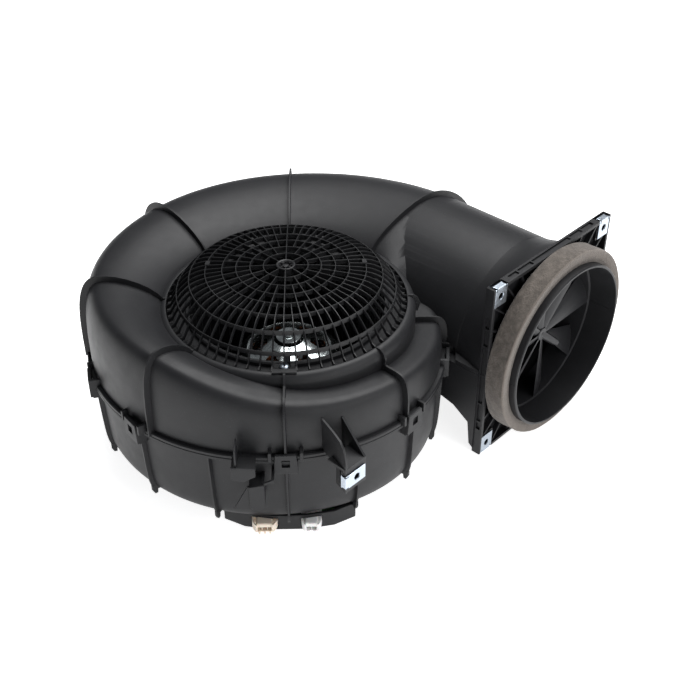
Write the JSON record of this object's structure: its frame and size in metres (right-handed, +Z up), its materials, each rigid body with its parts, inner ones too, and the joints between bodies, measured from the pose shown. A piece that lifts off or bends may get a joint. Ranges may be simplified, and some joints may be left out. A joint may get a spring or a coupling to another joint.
{
  "type": "centrifugal blower",
  "caption": "Centrifugal ventilation blower: two-part spiral housing, domed inlet grille, external-rotor motor with forward-curved wheel, square outlet flange and foam-sealed round spigot.",
  "frame": {"origin": "on the fan axis, at the level that the blower stands on (underside of the motor base)", "axes": "+Z up along the fan axis, towards the inlet grille; the outlet points along +X -Y, at 45 degrees"},
  "size_m": [0.4663, 0.3777, 0.1735],
  "materials": {
    "black_plastic": "satin moulded black plastic",
    "foam": "open-cell grey-brown foam strip",
    "zinc_steel": "bright zinc-plated sheet steel",
    "bell_steel": "bright plated steel",
    "lamination": "stacked electrical steel",
    "winding": "enamelled copper wire",
    "rubber": "soft black rubber and lead sleeve",
    "beige_nylon": "beige moulded nylon",
    "white_nylon": "milky white moulded nylon",
    "contact_brass": "tinned brass contacts",
    "board_laminate": "green circuit laminate",
    "capacitor_can": "aluminium can"
  },
  "bodies": {
    "housing": {"upper_shell": "black_plastic", "lower_shell": "black_plastic", "inlet_grille": "black_plastic", "guide_vanes": "black_plastic", "terminal_cover": "black_plastic", "outlet_gasket": "foam", "grille_screw": "zinc_steel", "flange_nut_upper_near": "zinc_steel", "flange_nut_upper_far": "zinc_steel", "flange_nut_lower_near": "zinc_steel", "flange_nut_lower_far": "zinc_steel", "bracket_nut": "zinc_steel", "motor_screw_1": "zinc_steel", "motor_screw_2": "zinc_steel", "motor_screw_3": "zinc_steel", "cover_screw_1": "zinc_steel", "cover_screw_2": "zinc_steel", "motor_base": "bell_steel", "bearing_cap": "bell_steel", "upper_bearing": "bell_steel", "lower_bearing": "bell_steel", "stator_core": "lamination", "stator_winding": "winding", "motor_grommet_1": "rubber", "motor_grommet_2": "rubber", "motor_grommet_3": "rubber", "motor_lead": "rubber", "beige_socket": "beige_nylon", "white_socket": "white_nylon", "beige_contact_1": "contact_brass", "beige_contact_2": "contact_brass", "beige_contact_3": "contact_brass", "white_contact_1": "contact_brass", "white_contact_2": "contact_brass", "control_board": "board_laminate", "board_capacitor": "capacitor_can"},
    "rotor": {"impeller": "black_plastic", "rotor_bell": "bell_steel", "rotor_ring": "lamination", "motor_shaft": "bell_steel", "shaft_clip": "bell_steel"}
  },
  "joints": [
    {"name": "rotor_spin", "type": "hinge", "parent": "housing", "child": "rotor", "pos_m": [0, 0, 0.09], "axis": [0, 0, 1], "continuous": true}
  ]
}
